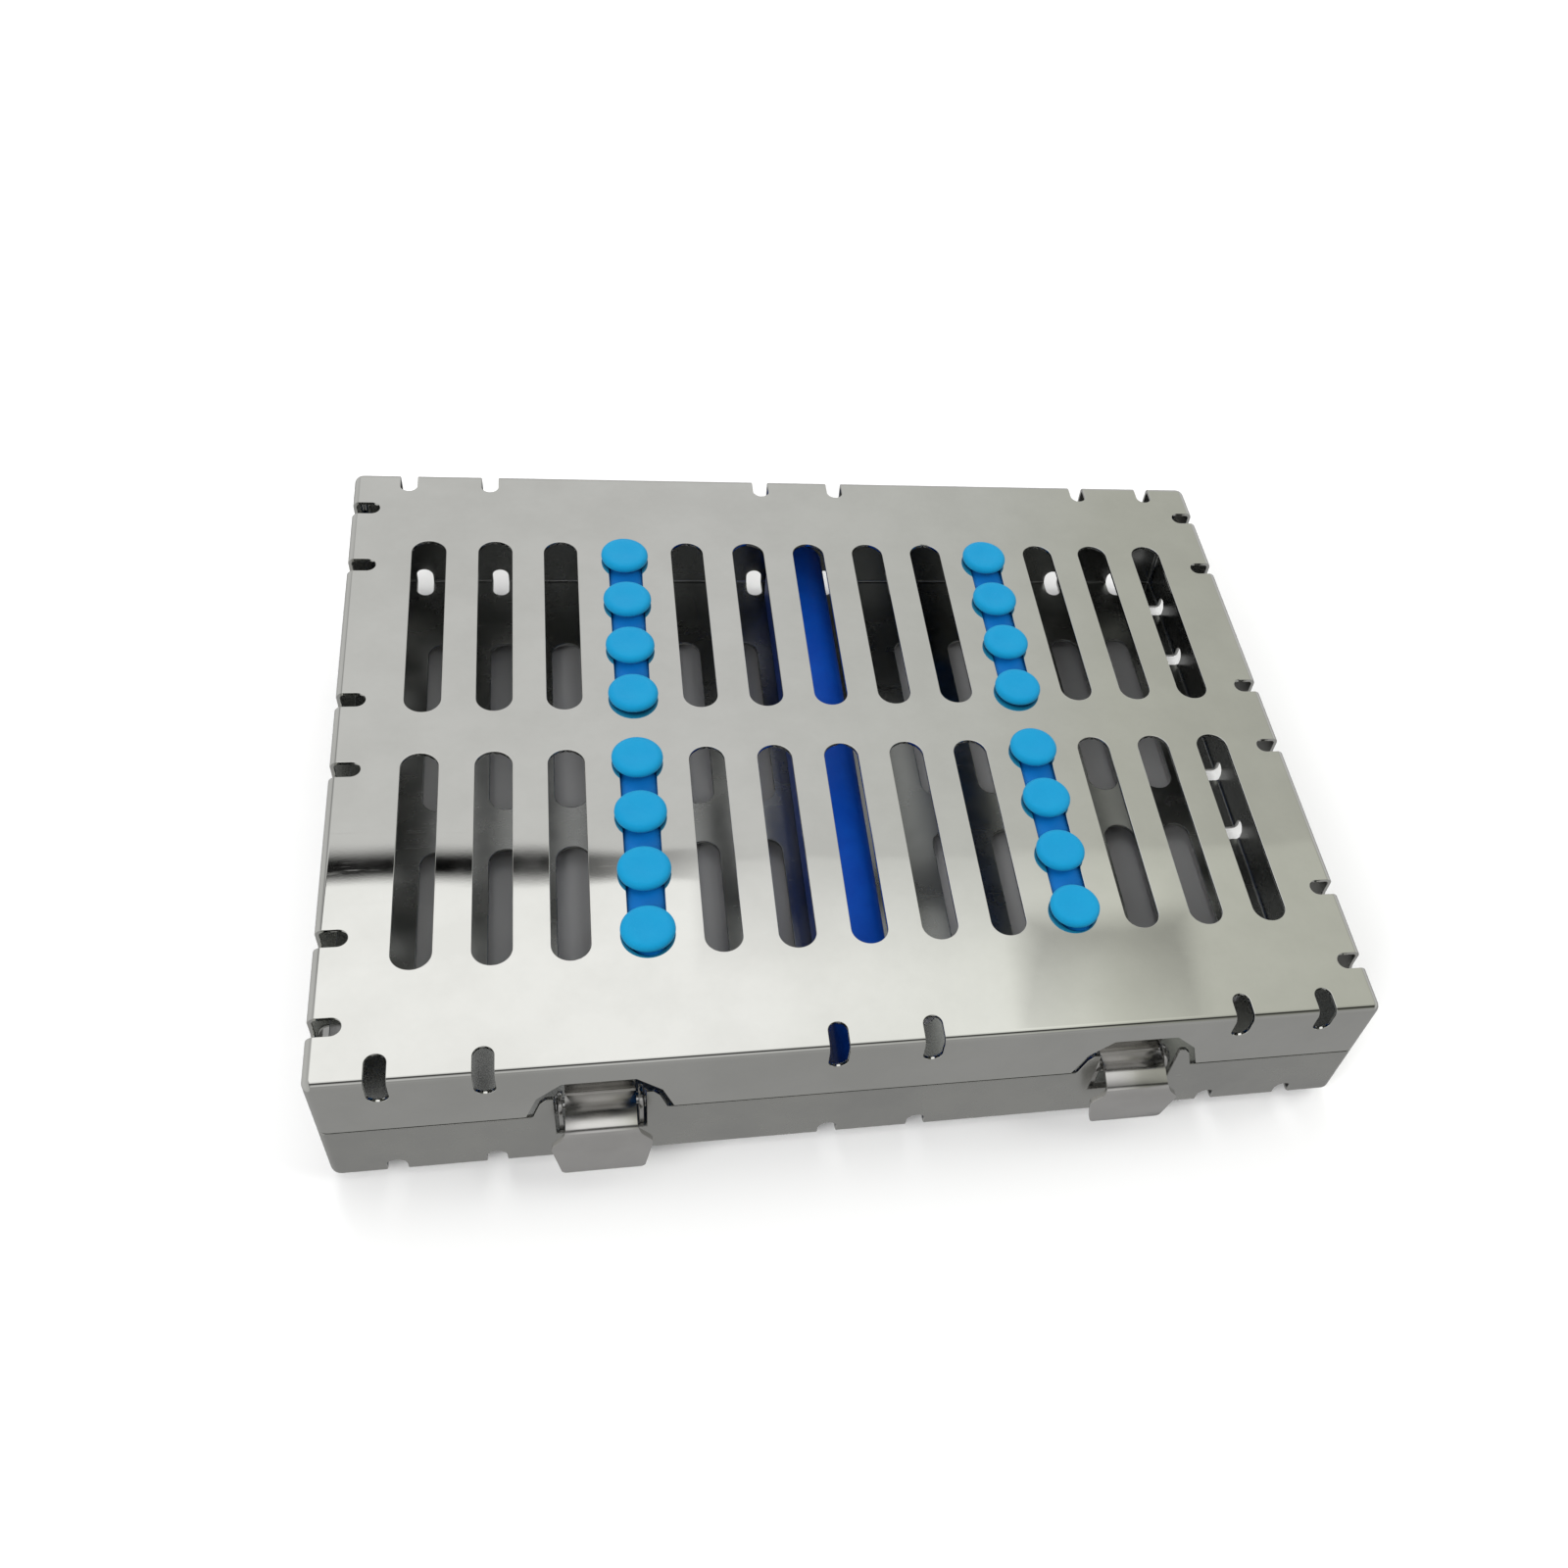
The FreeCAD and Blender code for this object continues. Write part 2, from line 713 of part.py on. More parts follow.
def latch_bracket(side, way):
    """A U of sheet welded inside the base wall; its two ears carry the latch pin."""
    body = new_body("latch_bracket_" + side)
    wall_inside = -(size("latch_pin_inset") - sheet_thickness)
    foot = size("bracket_foot") - size("latch_pin_height")
    shoulder = size("window_floor") - size("latch_pin_height") - size("bracket_window_clearance")
    ear = size("ear_radius")
    ear_inside = size("lever_half_width") + size("bracket_ear_clearance")
    ear_outside = ear_inside + size("bracket_sheet")
    outline = new_sketch(body, "YZ_Plane")
    polygon(outline, [
        (wall_inside, foot),
        (0, foot),
        (ear, shoulder),
        (ear, 0),
        (wall_inside, 0),
    ])
    pad(body, outline, ear_outside * 2, both_ways=True)
    crown = new_sketch(body, "YZ_Plane")
    circle(crown, 0, 0, ear)
    pad(body, crown, ear_outside * 2, both_ways=True)
    inside = new_sketch(body, "XZ_Plane", -(wall_inside + size("bracket_sheet")))
    above = ear * 2
    rectangle(inside, -ear_inside, ear_inside, foot - sheet_thickness, above)
    pocket(body, inside, ear * WELL_PAST)
    top = new_sketch(body, "XZ_Plane", ear * 2)
    rectangle(top, -ear_inside, ear_inside, shoulder, above)
    pocket(body, top, ear * WELL_PAST)
    bore = new_sketch(body, "YZ_Plane")
    circle(bore, 0, 0, size("latch_pin_radius") + size("bracket_pin_clearance"))
    pocket(body, bore, ear_outside * WELL_PAST, both_ways=True)
    x = size("latch_place") * way
    body.Placement.Base = FreeCAD.Vector(x.number, latch_pin_y.number, latch_pin_z.number)
    body.setExpression("Placement.Base.x", x.formula)
    body.setExpression("Placement.Base.y", latch_pin_y.formula)
    body.setExpression("Placement.Base.z", latch_pin_z.formula)
    return body


def latch_lever(side, way):
    """A bent sheet lever: finger tab outside, rolled eye on the pin, ramp and hook inside."""
    body = new_body("latch_lever_" + side)
    thick = size("lever_sheet")
    eye = size("eye_radius")
    half = size("lever_half_width")
    to_wall = -size("latch_pin_inset")
    tab_top_y = to_wall - size("tab_top_offset")
    tab_foot_y = to_wall - size("tab_foot_offset")
    tab_foot_z = eye - size("tab_drop")

    tab_side = new_sketch(body, "YZ_Plane")
    polygon(tab_side, [
        (tab_top_y, eye),
        (tab_foot_y, tab_foot_z),
        (tab_foot_y + thick, tab_foot_z),
        (tab_top_y + thick, eye),
    ])
    plate = pad(body, tab_side, size("tab_widest_half_width") * 2, both_ways=True)
    outline = new_sketch(body, "XZ_Plane")
    beyond = size("tab_widest_half_width") + thick
    widest = size("tab_widest_half_width")
    widest_z = eye - size("tab_widest_drop")
    foot_half = size("tab_foot_half_width")
    for hand in (-1, 1):
        polygon(outline, [
            (half * hand, eye + thick),
            (half * hand, eye),
            (widest * hand, widest_z),
            (foot_half * hand, tab_foot_z),
            (foot_half * hand, tab_foot_z - thick),
            (beyond * hand, tab_foot_z - thick),
            (beyond * hand, eye + thick),
        ])
    cut = pocket(body, outline, size("case_depth"), both_ways=True)
    corner_levels = [tab_foot_z.number, widest_z.number]
    corners = edges_where(
        cut.Shape,
        lambda edge: runs_along(edge, 1)
        and min(abs(edge.CenterOfMass.z - level) for level in corner_levels) < NEARLY_ZERO,
    )
    fillet(body, cut, corners, size("tab_corner"))

    lip_edge = -size("latch_pin_inset") + size("lip_reach")
    hook_low = arch_top_level + sheet_thickness + size("lip_clearance") - latch_pin_z
    hook_tip = lip_edge - size("hook_bite")
    neck = size("neck_inset")
    ramp_tip_y = -size("ramp_outset")
    ramp_z = size("ramp_height")
    bend_z = size("arm_bend_height")
    neck_z = arch_top_level - latch_pin_z - size("lip_clearance")
    strip = new_sketch(body, "YZ_Plane")
    polygon(strip, [
        (tab_top_y, eye),
        (tab_top_y + thick, eye - thick),
        (eye - thick, eye - thick),
        (eye - thick, bend_z),
        (ramp_tip_y, ramp_z),
        (neck, neck_z),
        (neck, hook_low),
        (hook_tip, hook_low),
        (hook_tip, hook_low + thick),
        (neck + thick, hook_low + thick),
        (neck + thick, neck_z - size("fold_shift")),
        (ramp_tip_y + size("ramp_inside"), ramp_z),
        (eye, bend_z + size("fold_shift")),
        (eye, 0),
        (0, 0),
        (0, eye),
    ])
    pad(body, strip, half * 2, both_ways=True)
    roll = new_sketch(body, "YZ_Plane")
    circle(roll, 0, 0, eye)
    rolled = pad(body, roll, half * 2, both_ways=True)
    bend = edges_where(
        rolled.Shape,
        lambda edge: runs_along(edge, 0)
        and abs(edge.CenterOfMass.y - tab_top_y.number) < NEARLY_ZERO
        and abs(edge.CenterOfMass.z - eye.number) < NEARLY_ZERO,
    )
    fillet(body, rolled, bend, size("lever_bend"))
    bore = new_sketch(body, "YZ_Plane")
    circle(bore, 0, 0, size("latch_pin_radius") + size("latch_running_clearance"))
    pocket(body, bore, half * WELL_PAST, both_ways=True)

    x = size("latch_place") * way
    rest_angle = size(side + "_rest_angle")
    body.Placement = FreeCAD.Placement(
        FreeCAD.Vector(x.number, latch_pin_y.number, latch_pin_z.number),
        FreeCAD.Rotation(FreeCAD.Vector(-1, 0, 0), rest_angle.number),
    )
    body.setExpression("Placement.Base.x", x.formula)
    body.setExpression("Placement.Base.y", latch_pin_y.formula)
    body.setExpression("Placement.Base.z", latch_pin_z.formula)
    body.setExpression("Placement.Rotation.Angle", rest_angle.formula)
    return body


pieces = [base_tray(), lid_tray(), base_centre_bar()]
for side, way in SIDES:
    pieces.append(lid_rail(side, way))
    pieces.append(hinge_leaf("hinge_base_leaf_" + side, way, False))
    pieces.append(hinge_leaf("hinge_lid_leaf_" + side, way, True))
    pieces.append(hinge_pin(side, way))
    pieces.append(latch_bracket(side, way))
    pieces.append(latch_pin(side, way))
    pieces.append(latch_lever(side, way))

document.recompute()
for item in document.Objects:
    if "Invalid" in item.State or "Error" in item.State:
        raise RuntimeError("%s is %s" % (item.Label, item.State))
for piece in pieces:
    if piece.Shape.isNull() or not piece.Shape.isValid():
        raise RuntimeError("%s has no valid shape" % piece.Label)

os.makedirs(OUTPUT_FOLDER, exist_ok=True)
for piece in pieces:
    piece.Shape.exportStep(os.path.join(OUTPUT_FOLDER, piece.Label + ".step"))
    box = piece.Shape.BoundBox
    print(
        "%-24s solids %d volume %10.2f  x %.2f..%.2f  y %.2f..%.2f  z %.2f..%.2f"
        % (
            piece.Label, len(piece.Shape.Solids), piece.Shape.Volume,
            box.XMin, box.XMax, box.YMin, box.YMax, box.ZMin, box.ZMax,
        )
    )
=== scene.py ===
from math import radians

import bmesh
import bpy
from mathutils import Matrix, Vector


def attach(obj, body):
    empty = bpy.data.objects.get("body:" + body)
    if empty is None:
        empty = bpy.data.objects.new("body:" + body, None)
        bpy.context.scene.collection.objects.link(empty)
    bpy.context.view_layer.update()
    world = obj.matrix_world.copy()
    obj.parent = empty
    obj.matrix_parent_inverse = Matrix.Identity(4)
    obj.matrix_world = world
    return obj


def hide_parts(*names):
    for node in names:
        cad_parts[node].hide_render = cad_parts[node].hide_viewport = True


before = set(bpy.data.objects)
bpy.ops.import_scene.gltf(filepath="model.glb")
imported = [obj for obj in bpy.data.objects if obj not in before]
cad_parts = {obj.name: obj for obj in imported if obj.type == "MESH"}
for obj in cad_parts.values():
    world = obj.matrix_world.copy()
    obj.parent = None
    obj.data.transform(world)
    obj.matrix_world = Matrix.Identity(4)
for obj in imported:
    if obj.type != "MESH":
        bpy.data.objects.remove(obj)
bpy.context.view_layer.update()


# The camera stands in front of the case, a little to its left, and looks down on the lid.
# Its place, lens and shift were worked out from the corners of the case in the photograph.

camera_data = bpy.data.cameras.new("camera")
camera_data.lens = 35.144
camera_data.sensor_width = 36.0
camera_data.shift_x = -0.1387
camera_data.shift_y = 0.0510
camera_data.clip_start = 0.01
camera = bpy.data.objects.new("camera", camera_data)
camera.location = (-0.04367, -0.19670, 0.24882)
camera.rotation_euler = (radians(37.8499), radians(-9.9635), radians(-10.8086))
bpy.context.scene.collection.objects.link(camera)
bpy.context.scene.camera = camera


# The two trays. Each is one sheet of stainless steel, 0.8 mm thick, punched with slots and
# notches, folded up on four sides, welded at the corners and electropolished all over.

def adder(tree):
    """A short way to add nodes to a tree, with their inputs and settings."""

    def add(kind, **settings):
        node = tree.nodes.new(kind)
        for key, value in settings.items():
            if key in node.inputs:
                node.inputs[key].default_value = value
            else:
                setattr(node, key, value)
        return node

    return add


def new_material(name):
    """An empty node material with its shader, and a short way to add and link nodes."""
    material = bpy.data.materials.new(name)
    material.use_nodes = True
    tree = material.node_tree
    return material, tree.nodes["Principled BSDF"], adder(tree), tree.links.new


def graded(add, link, value, start, end, low=0.0, high=1.0):
    """What runs from low to high while the value runs from start to end."""
    grade = add("ShaderNodeMapRange")
    for name, limit in (("From Min", start), ("From Max", end), ("To Min", low), ("To Max", high)):
        grade.inputs[name].default_value = limit
    link(value, grade.inputs["Value"])
    return grade.outputs["Result"]


def colour_ramp(add, stops):
    """A ramp node with these (place, colour) stops."""
    ramp = add("ShaderNodeValToRGB")
    points = ramp.color_ramp.elements
    while len(points) < len(stops):
        points.new(0.5)
    for point, (place, colour) in zip(points, stops):
        point.position = place
        point.color = (*colour, 1.0)
    return ramp


def polished_sheet(name, light, dark, smooth, rough, ripple, grain_depth):
    """Electropolished sheet: rolling ripples, a fine pickled grain and faint handling marks."""
    material, shader, add, link = new_material(name)
    shader.inputs["Metallic"].default_value = 1.0
    place = add("ShaderNodeTexCoord")

    rolling = add("ShaderNodeTexNoise", Scale=26.0, Detail=1.5, Roughness=0.45)
    grain = add("ShaderNodeTexNoise", Scale=2600.0, Detail=3.0, Roughness=0.6)
    cloud = add("ShaderNodeTexNoise", Scale=75.0, Detail=4.0, Roughness=0.6)
    wipe = add("ShaderNodeMapping")
    wipe.inputs["Rotation"].default_value = (0.0, 0.0, radians(28))
    wipe.inputs["Scale"].default_value = (60.0, 900.0, 900.0)
    marks = add("ShaderNodeTexNoise", Scale=1.0, Detail=5.0, Roughness=0.7)
    for texture in (rolling, grain, cloud):
        link(place.outputs["Object"], texture.inputs["Vector"])
    link(place.outputs["Object"], wipe.inputs["Vector"])
    link(wipe.outputs["Vector"], marks.inputs["Vector"])

    tint = colour_ramp(add, [(0.35, dark), (0.65, light)])
    link(cloud.outputs["Fac"], tint.inputs["Fac"])
    link(tint.outputs["Color"], shader.inputs["Base Color"])

    haze = graded(add, link, cloud.outputs["Fac"], 0.3, 0.72, smooth, rough)
    scuffs = graded(add, link, marks.outputs["Fac"], 0.6, 0.8, 0.0, 0.06)
    roughness = add("ShaderNodeMath", operation="ADD")
    link(haze, roughness.inputs[0])
    link(scuffs, roughness.inputs[1])
    link(roughness.outputs["Value"], shader.inputs["Roughness"])

    waves = add("ShaderNodeBump", Strength=1.0, Distance=ripple, name="waves")
    link(rolling.outputs["Fac"], waves.inputs["Height"])
    pickled = add("ShaderNodeBump", Strength=grain_depth, Distance=0.00002)
    link(grain.outputs["Fac"], pickled.inputs["Height"])
    link(waves.outputs["Normal"], pickled.inputs["Normal"])
    link(pickled.outputs["Normal"], shader.inputs["Normal"])
    return material


def dull_inside(material, corner, dulled):
    """Darken a sheet's colour on the faces inside the tray: painted shade for the dark inside of
    the closed case.

    corner is where the inner faces end, as |x|, |y| and the height of the floor's top."""
    tree = material.node_tree
    add, link = adder(tree), tree.links.new
    base_color = tree.nodes["Principled BSDF"].inputs["Base Color"]
    place = add("ShaderNodeTexCoord")
    split = add("ShaderNodeSeparateXYZ")
    link(place.outputs["Object"], split.inputs["Vector"])
    share = None
    for axis, edge, way in zip("XYZ", corner, (1.0, 1.0, -1.0)):
        distance = add("ShaderNodeMath", operation="ABSOLUTE")
        link(split.outputs[axis], distance.inputs[0])
        within = graded(
            add, link, distance.outputs["Value"], edge + way * 0.0003, edge + way * 0.0002
        )
        if share is None:
            share = within
            continue
        both = add("ShaderNodeMath", operation="MULTIPLY")
        link(share, both.inputs[0])
        link(within, both.inputs[1])
        share = both.outputs["Value"]
    # Painted shade: the inner faces' colour is multiplied by the darker tint.
    duller = add("ShaderNodeMix", data_type="RGBA", blend_type="MULTIPLY")
    duller.inputs[7].default_value = (*dulled, 1.0)
    link(share, duller.inputs["Factor"])
    link(base_color.links[0].from_socket, duller.inputs[6])
    link(duller.outputs[2], base_color)


def round_folds(material, half_width, half_depth, level, way, radius):
    """Bend the shading over a tray's outer folds, as over a sheet folded to this radius.

    level is the height of the tray's flat face, and way is 1 for a lid and -1 for a base."""
    tree = material.node_tree
    add, link = adder(tree), tree.links.new

    def math(operation, first, second=0.0):
        node = add("ShaderNodeMath", operation=operation)
        for socket, value in zip(node.inputs, (first, second)):
            if isinstance(value, float):
                socket.default_value = value
            else:
                link(value, socket)
        return node.outputs["Value"]

    place = add("ShaderNodeTexCoord")
    split = add("ShaderNodeSeparateXYZ")
    link(place.outputs["Object"], split.inputs["Vector"])
    outward = add("ShaderNodeCombineXYZ")
    for axis, half in (("X", half_width), ("Y", half_depth)):
        beyond = math("SUBTRACT", math("ABSOLUTE", split.outputs[axis]), half - radius)
        beyond = math("MAXIMUM", beyond, 0.0)
        link(math("MULTIPLY", beyond, math("SIGN", split.outputs[axis])), outward.inputs[axis])
    beyond = math("SUBTRACT", math("MULTIPLY", split.outputs["Z"], way), level * way - radius)
    link(math("MULTIPLY", math("MAXIMUM", beyond, 0.0), way), outward.inputs["Z"])

    length = add("ShaderNodeVectorMath", operation="LENGTH")
    link(outward.outputs["Vector"], length.inputs[0])
    outer_skin = graded(add, link, length.outputs["Value"], radius * 0.95, radius * 0.99)
    turned = add(
        "ShaderNodeVectorTransform",
        vector_type="NORMAL",
        convert_from="OBJECT",
        convert_to="WORLD",
    )
    link(outward.outputs["Vector"], turned.inputs["Vector"])
    flat = add("ShaderNodeNewGeometry")
    bent = add("ShaderNodeMix", data_type="VECTOR")
    link(outer_skin, bent.inputs["Factor"])
    link(flat.outputs["Normal"], bent.inputs[4])
    link(turned.outputs["Vector"], bent.inputs[5])
    even = add("ShaderNodeVectorMath", operation="NORMALIZE")
    link(bent.outputs[1], even.inputs[0])
    link(even.outputs["Vector"], tree.nodes["waves"].inputs["Normal"])


def give_finish(node, material):
    """Put one material on a node of the frame."""
    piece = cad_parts[node]
    piece.data.materials.clear()
    piece.data.materials.append(material)


def ease_edges(node, width, steps):
    """Join the node's loose triangles and break its sharp edges by a small round."""
    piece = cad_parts[node]
    weld = piece.modifiers.new("joined", "WELD")
    weld.merge_threshold = 0.000002
    flat = piece.modifiers.new("flats", "DECIMATE")
    flat.decimate_type = "DISSOLVE"
    flat.angle_limit = radians(0.4)
    broken = piece.modifiers.new("broken_edges", "BEVEL")
    broken.width = width
    broken.segments = steps
    broken.limit_method = "ANGLE"
    broken.angle_limit = radians(38)
    broken.use_clamp_overlap = False
    broken.harden_normals = False
    shading = piece.modifiers.new("flat_faces", "WEIGHTED_NORMAL")
    shading.keep_sharp = False


case_half_width, case_half_depth = 0.0900, 0.0715
lid_top, base_underside = 0.0313, 0.0018
sheet = 0.0008
fold_radius = 0.0014
lid_sheet = polished_sheet(
    "electropolished_lid_sheet",
    light=(0.68, 0.68, 0.65),
    dark=(0.64, 0.64, 0.61),
    smooth=0.015,
    rough=0.04,
    ripple=0.00010,
    grain_depth=0.012,
)
base_sheet = polished_sheet(
    "electropolished_base_sheet",
    light=(0.58, 0.58, 0.55),
    dark=(0.52, 0.52, 0.50),
    smooth=0.20,
    rough=0.32,
    ripple=0.0002,
    grain_depth=0.04,
)
inner_corner = (case_half_width - sheet, case_half_depth - sheet, base_underside + sheet)
# Painted shade on the base's inner faces.
dull_inside(base_sheet, inner_corner, dulled=(0.55, 0.56, 0.57))
round_folds(lid_sheet, case_half_width, case_half_depth, lid_top, 1.0, fold_radius)
round_folds(base_sheet, case_half_width, case_half_depth, base_underside, -1.0, fold_radius)
for tray, finish in (("base_tray", base_sheet), ("lid_tray", lid_sheet)):
    give_finish(tray, finish)
    ease_edges(tray, 0.00016, 2)


# The silicone pieces: two comb rails under the lid and the centre bar in the base. Each is
# one soft blue moulding, pushed through the tray's slots until its mushroom heads snap out.

def moulded_silicone(name, blue, shade, deep, seat):
    """Matt blue silicone with a fine moulded skin and a little clouding in its colour.

    Below the seat its blue is darker: painted shade on the parts that sit down in the slots and
    under the sheet."""
    material, shader, add, link = new_material(name)
    shader.inputs["Specular IOR Level"].default_value = 0.14
    shader.inputs["Sheen Weight"].default_value = 0.03
    shader.inputs["Sheen Roughness"].default_value = 0.4
    place = add("ShaderNodeTexCoord")
    cloud = add("ShaderNodeTexNoise", Scale=160.0, Detail=4.0, Roughness=0.6)
    skin = add("ShaderNodeTexNoise", Scale=3800.0, Detail=2.0, Roughness=0.5)
    dents = add("ShaderNodeTexNoise", Scale=420.0, Detail=3.0, Roughness=0.5)
    for texture in (cloud, skin, dents):
        link(place.outputs["Object"], texture.inputs["Vector"])
    tint = colour_ramp(add, [(0.3, shade), (0.7, blue)])
    link(cloud.outputs["Fac"], tint.inputs["Fac"])
    # Painted shade: below the seat the colour is mixed towards the darker blue.
    height = add("ShaderNodeSeparateXYZ")
    link(place.outputs["Object"], height.inputs["Vector"])
    thickness = graded(add, link, height.outputs["Z"], seat - 0.0002, seat + 0.0004)
    depth = add("ShaderNodeMix", data_type="RGBA")
    depth.inputs[6].default_value = (*deep, 1.0)
    link(thickness, depth.inputs["Factor"])
    link(tint.outputs["Color"], depth.inputs[7])
    link(depth.outputs[2], shader.inputs["Base Color"])
    matt = graded(add, link, cloud.outputs["Fac"], 0.0, 1.0, 0.36, 0.56)
    link(matt, shader.inputs["Roughness"])
    soft = add("ShaderNodeBump", Strength=0.5, Distance=0.0002)
    link(dents.outputs["Fac"], soft.inputs["Height"])
    fine = add("ShaderNodeBump", Strength=0.3, Distance=0.00002)
    link(skin.outputs["Fac"], fine.inputs["Height"])
    link(soft.outputs["Normal"], fine.inputs["Normal"])
    link(fine.outputs["Normal"], shader.inputs["Normal"])
    return material


def alone(piece):
    """Make this the only selected object."""
    bpy.ops.object.select_all(action="DESELECT")
    piece.select_set(True)
    bpy.context.view_layer.objects.active = piece


def pick(piece, kind, wanted):
    """In edit mode, select the vertices, edges or faces that the test accepts, and no others."""
    bpy.ops.mesh.select_mode(type={"verts": "VERT", "edges": "EDGE", "faces": "FACE"}[kind])
    bpy.ops.mesh.select_all(action="DESELECT")
    mesh = bmesh.from_edit_mesh(piece.data)
    for part in getattr(mesh, kind):
        part.select_set(wanted(part))
    mesh.select_flush_mode()
    bmesh.update_edit_mesh(piece.data)


def along(edge, axis):
    """Whether an edge runs along an axis, given as 0, 1 or 2."""
    run = edge.verts[1].co - edge.verts[0].co
    return abs(run[axis]) > 0.999 * run.length


def round_edges(piece, width, steps):
    """Round a piece's sharp edges, as a mould or a deburring wheel leaves them."""
    rounding = piece.modifiers.new("rounded_edges", "BEVEL")
    rounding.width = width
    rounding.segments = steps
    rounding.limit_method = "ANGLE"
    rounding.angle_limit = radians(50)


def apply_all(piece):
    """Apply the modifiers and the place of a finished piece."""
    alone(piece)
    for modifier in list(piece.modifiers):
        bpy.ops.object.modifier_apply(modifier=modifier.name)
    bpy.ops.object.transform_apply(location=True, rotation=True, scale=True)


def mushroom_head(x, y, foot, way):
    """A neck through the slot and a puffed head over it, built up in rings of radius and level.

    foot is the level of the sheet's inner face; way is 1 for a head on top, -1 for one below."""
    rings = [
        (0.00260, 0.00080), (0.00395, 0.00080), (0.00432, 0.00098), (0.00453, 0.00128),
        (0.00460, 0.00165), (0.00455, 0.00200), (0.00436, 0.00230), (0.00404, 0.00250),
        (0.00360, 0.00259), (0.00310, 0.00260), (0.00240, 0.00257), (0.00160, 0.00249),
        (0.00080, 0.00242),
    ]
    radius, level = 0.0026, 0.0001
    middle = (x, y, foot)
    bpy.ops.object.select_all(action="DESELECT")
    bpy.ops.mesh.primitive_circle_add(
        vertices=48, radius=radius, fill_type="NGON", location=(x, y, foot + level * way)
    )
    head = bpy.context.active_object
    bpy.ops.object.mode_set(mode="EDIT")
    bpy.ops.mesh.select_mode(type="FACE")
    bpy.ops.mesh.select_all(action="SELECT")
    for next_radius, next_level in rings:
        rise = (next_level - level) * way
        ratio = next_radius / radius
        bpy.ops.mesh.extrude_region_move(TRANSFORM_OT_translate={"value": (0, 0, rise)})
        bpy.ops.transform.resize(value=(ratio, ratio, 1.0), center_override=middle)
        radius, level = next_radius, next_level
    bpy.ops.mesh.poke()
    bpy.ops.mesh.select_all(action="SELECT")
    bpy.ops.mesh.normals_make_consistent(inside=False)
    bpy.ops.object.mode_set(mode="OBJECT")
    return head


def slot_rib(x, y, low, high):
    """The long round-ended rib that fills one slot of the sheet."""
    half_width, to_end = 0.0031, 0.0198
    bpy.ops.object.select_all(action="DESELECT")
    middle = (low + high) / 2
    bpy.ops.mesh.primitive_cylinder_add(
        vertices=40, radius=half_width, depth=high - low, location=(x, y, middle)
    )
    rib = bpy.context.active_object
    bpy.ops.object.mode_set(mode="EDIT")
    for end in (-1, 1):
        pick(rib, "verts", lambda vert: vert.co.y * end > 0.00001)
        bpy.ops.transform.translate(value=(0, to_end * end, 0))
    bpy.ops.object.mode_set(mode="OBJECT")
    round_edges(rib, 0.0002, 2)
    return rib


def join_moulding(name, parts, material, body, node):
    """Join the parts of one moulding, give it its finish and let it stand for its node."""
    for part in parts:
        apply_all(part)
    bpy.ops.object.select_all(action="DESELECT")
    for part in parts:
        part.select_set(True)
    bpy.context.view_layer.objects.active = parts[0]
    bpy.ops.object.join()
    moulding = bpy.context.active_object
    moulding.name = name
    moulding.data.materials.clear()
    moulding.data.materials.append(material)
    bpy.ops.object.shade_smooth_by_angle(angle=radians(42))
    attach(moulding, body)
    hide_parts(node)
    return moulding


